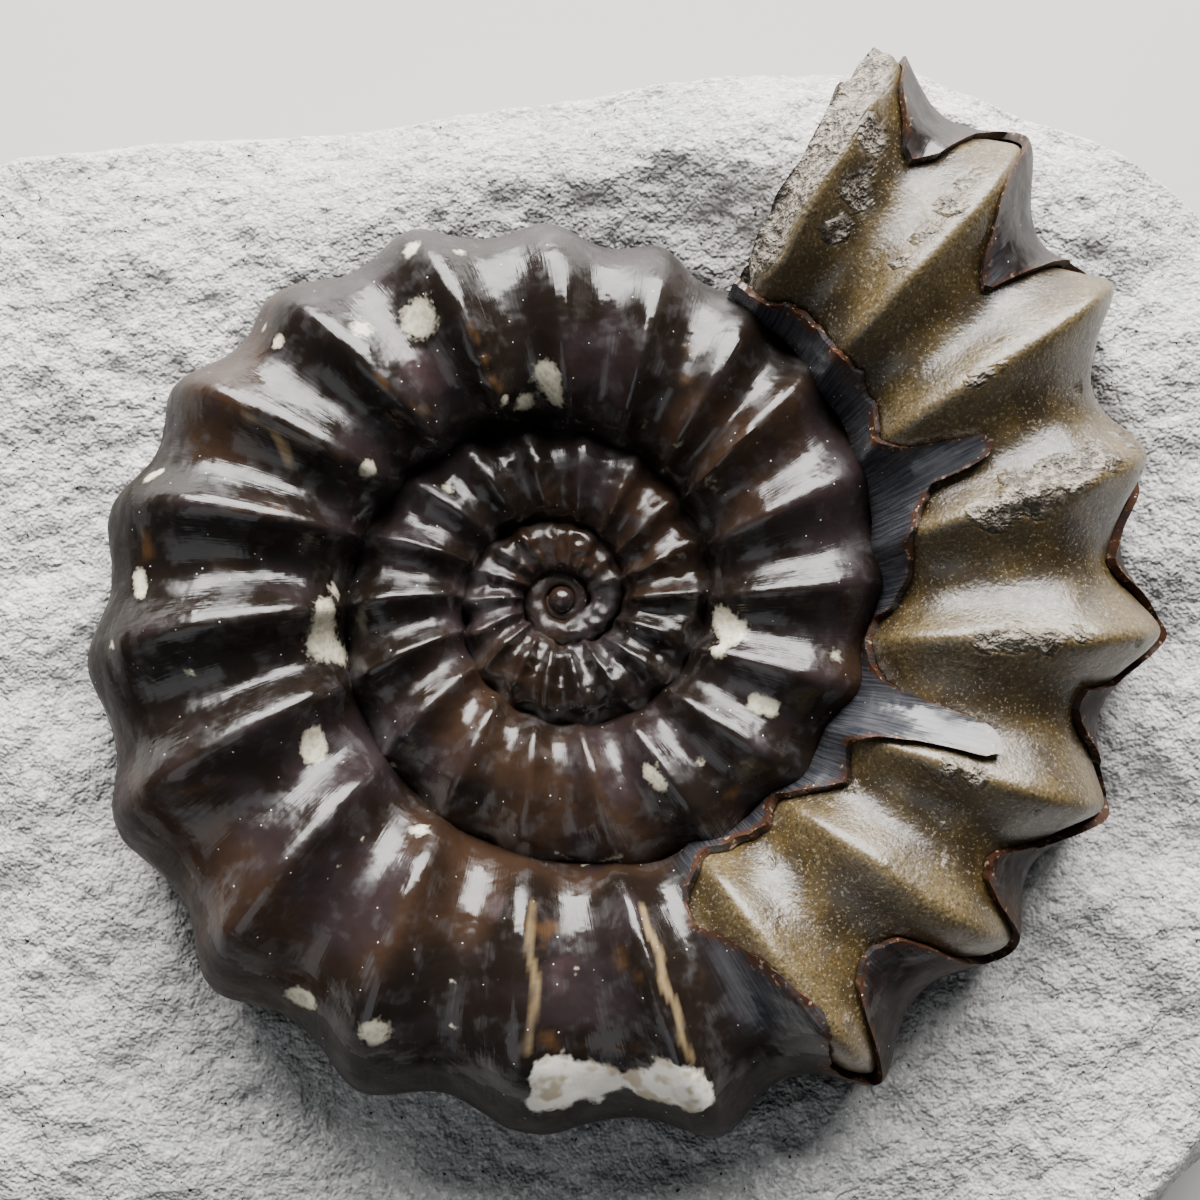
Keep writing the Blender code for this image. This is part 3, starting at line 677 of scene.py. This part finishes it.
def roughen_block(points, ring_index, pocket_count, count):
    """Moves the free surface up and down and the sides in and out. Pocket and base stay."""
    free = smooth_step(pocket_count - 0.5, pocket_count + 4, ring_index)
    free *= smooth_step(count - 1, count - 4, ring_index)
    side = smooth_step(count - SIDE_RINGS - 3, count - SIDE_RINGS + 3, ring_index)
    rough = (0.55 * fractal(points, 7.0, 2, 51) + 0.34 * fractal(points, 2.6, 2, 53)
             + 0.20 * fractal(points, 1.0, 2, 55))
    facets = 1.6 * lattice_noise(points, 10.0, 58) - 1.5 * np.abs(lattice_noise(points, 5.0, 59))
    rough += side * facets
    outward = points.copy()
    outward[:, :2] -= COIL_CENTRE[:2]
    outward[:, 2] = 0
    outward /= np.maximum(np.linalg.norm(outward, axis=1), 1)[:, None]
    direction = outward * side[:, None]
    direction[:, 2] = 1 - side
    points += direction * (rough * free)[:, None]
    points[:, :2] = np.clip(points[:, :2], -BLOCK_HALF, BLOCK_HALF)
    points[:, 2] = np.maximum(points[:, 2], 0)


def block():
    """Rings from the pocket's floor over the free surface and down the sides to the flat base."""
    start = MOUTH_TURN - 360
    turns = np.concatenate([[start - 0.1], np.linspace(start + 0.4, MOUTH_TURN + 0.2, BLOCK_COLUMNS)])
    theta = np.mod(turns + 180, 360) - 180
    ray = np.stack([np.cos(np.radians(theta)), np.sin(np.radians(theta))], -1)
    pocket, contact_radius, contact_height = pocket_rings(turns, ray)
    top, rim, gaps = top_rings(turns, theta, ray, contact_radius, contact_height)
    sides = side_rings(ray, rim, top[-1][:, 2])
    points = np.concatenate(pocket + top + sides)
    columns, count = len(turns), len(pocket) + len(top) + len(sides)
    roughen_block(points, np.repeat(np.arange(count), columns), len(pocket), count)
    faces = grid_faces(count, columns, True).tolist()
    hub = to_block(np.array([0, 0, -section(COIL_START + 400)[1] - POCKET_HUB_DEPTH]))
    base = np.array([COIL_CENTRE[0], COIL_CENTRE[1], 0.0])
    faces += cap_fan(range(columns), len(points))
    faces += [f[::-1] for f in cap_fan(range(len(points) - columns, len(points)), len(points) + 1)]
    away = np.full(len(points) + 2, FAR_AWAY)
    before = columns * len(pocket)
    away[:before] = 0
    away[before:before + columns * len(top)] = np.concatenate(gaps)
    points = np.concatenate([points, [hub, base]])
    return points, [f[::-1] for f in faces], {"tint": limestone_tint(points, away)}


# Materials

class Shader:
    """Short names for building a material's nodes."""

    def __init__(self, name):
        self.material = bpy.data.materials.new(name)
        self.material.use_nodes = True
        self.tree = self.material.node_tree
        self.surface = self.tree.nodes["Principled BSDF"]
        self.coordinates = self.tree.nodes.new("ShaderNodeTexCoord").outputs["Object"]

    def put(self, socket, value):
        if isinstance(value, bpy.types.NodeSocket):
            self.tree.links.new(value, socket)
        else:
            socket.default_value = value

    def noise(self, per_mm, detail, roughness, vector=None, scale=None):
        node = self.tree.nodes.new("ShaderNodeTexNoise")
        self.put(node.inputs["Vector"], vector or self.coordinates)
        node.inputs["Scale"].default_value = scale or per_mm * 1000
        node.inputs["Detail"].default_value = detail
        node.inputs["Roughness"].default_value = roughness
        return node.outputs["Fac"]

    def cells(self, per_mm):
        """Distance to the nearest of many scattered points."""
        node = self.tree.nodes.new("ShaderNodeTexVoronoi")
        self.put(node.inputs["Vector"], self.coordinates)
        node.inputs["Scale"].default_value = per_mm * 1000
        return node.outputs["Distance"]

    def attribute(self, name, output="Fac"):
        node = self.tree.nodes.new("ShaderNodeAttribute")
        node.attribute_name = name
        return node.outputs[output]

    def growth_lines(self, per_degree, per_phi):
        """Fine lines along the ribs, from the coil's own angles."""
        node = self.tree.nodes.new("ShaderNodeCombineXYZ")
        self.put(node.inputs[0], self.math("MULTIPLY", self.attribute("turn"), per_degree))
        self.put(node.inputs[1], self.math("MULTIPLY", self.attribute("phi"), per_phi))
        return self.noise(0, 2, 0.6, vector=node.outputs[0], scale=1.0)

    def math(self, operation, a, b):
        node = self.tree.nodes.new("ShaderNodeMath")
        node.operation = operation
        self.put(node.inputs[0], a)
        self.put(node.inputs[1], b)
        return node.outputs[0]

    def ramp(self, value, low, high, to_low=0.0, to_high=1.0):
        node = self.tree.nodes.new("ShaderNodeMapRange")
        node.interpolation_type = "SMOOTHSTEP"
        self.put(node.inputs["Value"], value)
        ends = {"From Min": low, "From Max": high, "To Min": to_low, "To Max": to_high}
        for key, number in ends.items():
            node.inputs[key].default_value = number
        return node.outputs["Result"]

    def mix(self, factor, a, b):
        node = self.tree.nodes.new("ShaderNodeMix")
        node.data_type = "RGBA"
        self.put(node.inputs[0], factor)
        self.put(node.inputs[6], a)
        self.put(node.inputs[7], b)
        return node.outputs[2]

    def bump(self, height, strength, distance_mm, below=None):
        node = self.tree.nodes.new("ShaderNodeBump")
        self.put(node.inputs["Height"], height)
        node.inputs["Strength"].default_value = strength
        node.inputs["Distance"].default_value = distance_mm * MM
        if below is not None:
            self.put(node.inputs["Normal"], below)
        return node.outputs["Normal"]

    def finish(self, colour, roughness, normal, specular=0.5):
        self.put(self.surface.inputs["Base Color"], colour)
        self.put(self.surface.inputs["Roughness"], roughness)
        self.put(self.surface.inputs["Normal"], normal)
        self.surface.inputs["Specular IOR Level"].default_value = specular
        return self.material


BLACK_BROWN = (0.0095, 0.0062, 0.0045, 1)
CHOCOLATE = (0.031, 0.0165, 0.0095, 1)
PURPLE_BROWN = (0.022, 0.015, 0.016, 1)
PURPLE_FLAKE = (0.044, 0.026, 0.027, 1)
AMBER = (0.072, 0.037, 0.015, 1)
TAN = (0.25, 0.18, 0.095, 1)
CREAM = (0.66, 0.62, 0.48, 1)
DULL_CREAM = (0.46, 0.42, 0.31, 1)
WHITE_CALCITE = (0.90, 0.86, 0.77, 1)
TINTED_CALCITE = (0.50, 0.42, 0.30, 1)
BROKEN_EDGE = (0.048, 0.019, 0.009, 1)
EDGE_GLINT = (0.30, 0.22, 0.15, 1)
# grey film, partly a painted sheen
FILM_AND_SHEEN_GREY = (0.055, 0.052, 0.055, 1)
BLUE_BLACK = (0.016, 0.018, 0.023, 1)
SLATE = (0.055, 0.055, 0.060, 1)
DUST = (0.75, 0.73, 0.68, 1)
SATIN_BELOW = 62.0         # below these angles round the section the shell is less polished
DULL_BELOW = 50.0
POLISHES = (("dark_calcite", 0.58), ("satin_calcite", 0.32), ("dull_calcite", 0.12))


def shell_tint(points, tree):
    """Colour of the calcite below its spots: dark brown with amber, purple and tan stains."""
    ragged = 0.28 * lattice_noise(points, 1.1, 71) + 0.22 * lattice_noise(points, 0.5, 72)
    tint = np.tile(np.array(BLACK_BROWN), (len(points), 1))
    tint = blend(tint, CHOCOLATE, 0.85 * smooth_step(0.12, 0.8, fractal(points, 7.0, 3, 73)))
    tint = blend(tint, PURPLE_BROWN, 0.8 * smooth_step(0.1, 0.6, fractal(points, 4.5, 3, 76)))
    purple = blots(points, tree, PURPLE_PATCHES) + ragged
    tint = blend(tint, PURPLE_FLAKE, 0.75 * smooth_step(0.1, 0.5, purple))
    amber = blots(points, tree, AMBER_PATCHES + streak_spots(AMBER_STREAKS))
    tint = blend(tint, AMBER, 0.8 * smooth_step(0.0, 0.6, amber + ragged))
    tan = blots(points, tree, streak_spots(TAN_STREAKS))
    return blend(tint, TAN, 0.9 * smooth_step(0.0, 0.45, tan + 0.35 * ragged))


def calcite(name, polish):
    """Dark polished calcite with cream spots, a thin grey film that is partly a painted sheen, growth
    lines and specks of dust.
    """
    s = Shader(name)
    fine = s.math("SUBTRACT", s.noise(2.6, 1, 0.7), 0.5)
    blotch = s.noise(0.6, 2, 0.65)
    lines = s.growth_lines(2.4, 0.035)
    # grey film in blotches along the growth lines, partly a painted sheen
    film_and_sheen = s.math("MULTIPLY", s.ramp(blotch, 0.50, 0.72), s.ramp(lines, 0.3, 0.7, 0.1, 0.6))
    colour = s.mix(film_and_sheen, s.attribute("tint", "Color"), FILM_AND_SHEEN_GREY)
    colour = s.mix(s.attribute("band"), colour, s.mix(s.ramp(lines, 0.35, 0.7), BLUE_BLACK, SLATE))
    spot = s.ramp(s.math("ADD", s.attribute("cream"), s.math("MULTIPLY", fine, 0.7)), 0.0, 0.40)
    colour = s.mix(spot, colour, s.mix(s.ramp(fine, -0.15, 0.2), CREAM, DULL_CREAM))
    frayed = s.math("ADD", s.math("MULTIPLY", fine, 0.2), s.ramp(blotch, 0.3, 0.7, -0.12, 0.12))
    white = s.ramp(s.math("ADD", s.attribute("white"), frayed), 0.02, 0.22)
    colour = s.mix(white, colour, s.mix(s.ramp(blotch, 0.46, 0.62), WHITE_CALCITE, TINTED_CALCITE))
    edge = s.math("MULTIPLY", s.attribute("rim"), s.ramp(blotch, 0.38, 0.55, 0.15, 1.0))
    colour = s.mix(edge, colour, s.mix(s.ramp(fine, 0.10, 0.22), BROKEN_EDGE, EDGE_GLINT))
    specks = s.math("MULTIPLY", s.ramp(s.cells(1.25), 0.075, 0.045), s.ramp(blotch, 0.44, 0.58))
    colour = s.mix(specks, colour, DUST)
    roughness = s.math("ADD", s.ramp(blotch, 0.35, 0.75, 0.15, 0.36), s.math("MULTIPLY", specks, 0.4))
    roughness = s.math("ADD", roughness, s.ramp(s.attribute("phi"), 68, 30, 0.0, 0.30))
    normal = s.bump(lines, 0.35, 0.045)
    normal = s.bump(s.noise(1.4, 1, 0.65), 0.45, 0.09, normal)
    return s.finish(colour, roughness, normal, polish)


FILLING_DARK = (0.028, 0.0165, 0.003, 1)
FILLING_KHAKI = (0.060, 0.038, 0.008, 1)
# painted highlight laid on the filling's crests
FILLING_PAINTED_HIGHLIGHT = (0.120, 0.086, 0.036, 1)
SPECKLE_DARK = (0.028, 0.020, 0.011, 1)
SPECKLE_PALE = (0.27, 0.225, 0.15, 1)
GLINT = (0.75, 0.68, 0.56, 1)
SPLIT_DARK = (0.046, 0.035, 0.024, 1)
SPLIT_PALE = (0.31, 0.27, 0.21, 1)


def filling_tint(points, crest):
    """Dark in the troughs and paler on the crests: the paler crests are a painted highlight."""
    tint = np.tile(np.array(FILLING_DARK), (len(points), 1))
    tint = blend(tint, FILLING_KHAKI, smooth_step(-0.4, 0.5, fractal(points, 1.6, 2, 81)))
    # painted highlight: the crests are made paler, standing in for the sheen of the light on them
    pale = crest + 0.35 * fractal(points, 2.4, 2, 84)
    return blend(tint, FILLING_PAINTED_HIGHLIGHT, 0.75 * smooth_step(0.1, 1.1, pale))


def brown_stone():
    """Satin khaki filling, speckled, with a painted highlight on the crests that leaves the troughs
    darker, and coarse patches where it was split.
    """
    s = Shader("brown_filling")
    speckle = s.noise(4.6, 1, 0.7)
    lumps = s.noise(1.7, 2, 0.7)
    colour = s.mix(s.math("MULTIPLY", s.ramp(speckle, 0.48, 0.32), 0.8), s.attribute("tint", "Color"),
                   SPECKLE_DARK)
    colour = s.mix(s.math("MULTIPLY", s.ramp(speckle, 0.58, 0.72), 0.5), colour, SPECKLE_PALE)
    glint = s.ramp(s.cells(3.4), 0.10, 0.05)
    colour = s.mix(s.math("MULTIPLY", glint, 0.7), colour, GLINT)
    rough = s.attribute("rough")
    broken = s.mix(s.ramp(lumps, 0.42, 0.62), SPLIT_DARK, SPLIT_PALE)
    colour = s.mix(s.math("MULTIPLY", rough, 0.85), colour, broken)
    roughness = s.math("ADD", s.ramp(lumps, 0.3, 0.7, 0.31, 0.45), s.math("MULTIPLY", rough, 0.3))
    normal = s.bump(s.noise(3.4, 1, 0.7), 0.55, 0.07)
    normal = s.bump(s.math("MULTIPLY", lumps, rough), 0.9, 0.6, normal)
    return s.finish(colour, roughness, normal, 0.8)


STONE_COOL = (0.44, 0.44, 0.435, 1)
STONE_WARM = (0.56, 0.55, 0.525, 1)
STONE_DARK = (0.34, 0.337, 0.330, 1)
# painted shade on the stone next to the coil
STONE_PAINTED_SHADE = (0.07, 0.07, 0.075, 1)
GRAIN_DARK = (0.29, 0.287, 0.281, 1)
GRAIN_PALE = (0.80, 0.79, 0.77, 1)
BLACK_DOT = (0.045, 0.043, 0.04, 1)


def limestone_tint(points, away):
    """Grey blotches, and painted shade darkening the stone beside the coil, from each point's distance to
    it.
    """
    tint = np.tile(np.array(STONE_COOL), (len(points), 1))
    tint = blend(tint, STONE_WARM, smooth_step(-0.5, 0.5, fractal(points, 14.0, 3, 91)))
    tint = blend(tint, STONE_DARK, 0.6 * smooth_step(0.3, 0.9, fractal(points, 3.0, 3, 95)))
    # painted shade: the stone darkens within about 2 mm of the coil, where the shell shades it
    painted_shade = smooth_step(2.4, 0.5, away + 0.7 * lattice_noise(points, 2.4, 98))
    return blend(tint, STONE_PAINTED_SHADE, 0.9 * painted_shade)


def limestone():
    """Light grey granular limestone with darker grains, pale flecks and a few black dots."""
    s = Shader("grey_limestone")
    tint = s.attribute("tint", "Color")
    fleck = s.noise(2.3, 1, 0.7)
    colour = s.mix(s.ramp(s.noise(1.9, 2, 0.8), 0.50, 0.32), tint, GRAIN_DARK)
    colour = s.mix(s.math("MULTIPLY", s.ramp(fleck, 0.52, 0.66), 0.55), colour, GRAIN_PALE)
    colour = s.mix(s.ramp(fleck, 0.27, 0.24), colour, BLACK_DOT)
    normal = s.bump(s.noise(1.2, 2, 0.75), 0.9, 0.65)
    return s.finish(colour, 0.88, normal, 0.25)


# Assembly

def tree_of(points, faces):
    return BVHTree.FromPolygons([tuple(p) for p in points], faces)


def band_colour(t, phi):
    """1 on the blue-black shell left along the seam of the body chamber."""
    return smooth_step(-70, -62, t) * smooth_step(60, 75, phi)


def shell_fields(points, tree, t, phi, broken):
    """Everything that the shell's material reads at each point."""
    share = np.clip((150 - np.abs(phi)) / 131, 0, 1)
    sheet = smooth_step(SHEET_START + 1, SHEET_START + 4, t)
    rim = np.maximum(broken, smooth_step(0.75, 0.25, shell_cover(t, phi)) * sheet)
    return {"cream": blots(points, tree, CREAM_SPOTS + streak_spots(CREAM_STREAKS)),
            "white": blots(points, tree, WHITE_PATCHES), "tint": shell_tint(points, tree),
            "band": band_colour(t, phi), "rim": rim, "turn": t + RIB_SWEEP * (1 - share), "phi": phi}


def rim_places(points, faces, t, phi):
    """Which material each face of the shell has: polished on the flank, duller down the near rim."""
    first = np.array([f[0] for f in faces])
    far_side = smooth_step(0.1, 0.7, np.sin(np.radians(t[first])))
    height = phi[first] + 4 * lattice_noise(points[first], 1.2, 64) + 50 * far_side
    return np.select([height < DULL_BELOW, height < SATIN_BELOW], [2, 1], 0).tolist()


def build_pieces():
    calcites = [calcite(name, polish) for name, polish in POLISHES]
    points, faces, t, phi, broken = outer_whorl()
    tree = tree_of(points, faces)
    points = press_pits(points, tree)
    make_piece("shell_outer_whorl", points, faces, calcites, "ammonite_shell",
               shell_fields(points, tree, t, phi, broken), 50, rim_places(points, faces, t, phi))
    inner, inner_faces, t, phi = inner_whorls()
    inner_tree = tree_of(inner, inner_faces)
    inner = press_pits(inner, inner_tree)
    fields = shell_fields(inner, inner_tree, t, phi, np.zeros(len(inner)))
    make_piece("shell_inner_whorls", inner, inner_faces, calcites[:1], "ammonite_shell",
               fields)
    points, faces, fields = filling()
    make_piece("chamber_filling", points, faces, [brown_stone()], "body_chamber_mould",
               fields)
    points, faces, fields = block()
    make_piece("limestone_block", points, faces, [limestone()], "limestone_matrix", fields)


FLOOR_SIZE = 12.0          # metres, as all of the setting
FLOOR_GAP = 0.0002
FLOOR_COLOUR = (0.46, 0.455, 0.445, 1)
ROOM_COLOUR = (0.92, 0.95, 1.0, 1)
ROOM_STRENGTH = 0.09
LIGHT_TARGET = (0, 0, 0.02)
# Name, place, size, watts and colour
LIGHTS = [("back_window", (0.02, 0.44, 0.30), (0.70, 0.46), 21.5, (1, 0.98, 0.96)),
          ("front_fill", (-0.25, -0.40, 0.45), (0.5, 0.5), 0.7, (0.92, 0.96, 1))]
SENSOR_WIDTH = 36.0
NEAR_CLIP = 0.005


def area_light(name, place, size, watts, colour):
    data = bpy.data.lights.new(name, "AREA")
    data.shape = "RECTANGLE"
    data.size, data.size_y = size
    data.energy = watts
    data.color = colour
    light = bpy.data.objects.new(name, data)
    light.location = place
    light.rotation_euler = (Vector(LIGHT_TARGET) - Vector(place)).to_track_quat("-Z", "Y").to_euler()
    bpy.context.scene.collection.objects.link(light)


def build_setting():
    """A pale floor, soft light from behind as in the photograph, and the camera."""
    bpy.ops.mesh.primitive_plane_add(size=FLOOR_SIZE, location=(0, 0, -FLOOR_GAP))
    floor = bpy.context.object
    floor.name = "floor"
    paint = Shader("pale_floor")
    paint.surface.inputs["Base Color"].default_value = FLOOR_COLOUR
    paint.surface.inputs["Roughness"].default_value = 0.7
    floor.data.materials.append(paint.material)
    world = bpy.data.worlds.new("soft_room")
    world.use_nodes = True
    world.node_tree.nodes["Background"].inputs["Color"].default_value = ROOM_COLOUR
    world.node_tree.nodes["Background"].inputs["Strength"].default_value = ROOM_STRENGTH
    bpy.context.scene.world = world
    for name, place, size, watts, colour in LIGHTS:
        area_light(name, place, size, watts, colour)
    data = bpy.data.cameras.new("camera")
    data.sensor_width = SENSOR_WIDTH
    data.lens = data.sensor_width / 2 / math.tan(math.radians(FIELD_OF_VIEW / 2))
    data.clip_start = NEAR_CLIP
    camera = bpy.data.objects.new("camera", data)
    camera.location = CAMERA_PLACE * MM
    camera.rotation_euler = (math.radians(90 - ELEVATION), 0, 0)
    bpy.context.scene.collection.objects.link(camera)
    bpy.context.scene.camera = camera


build_setting()
build_pieces()
bpy.context.view_layer.update()
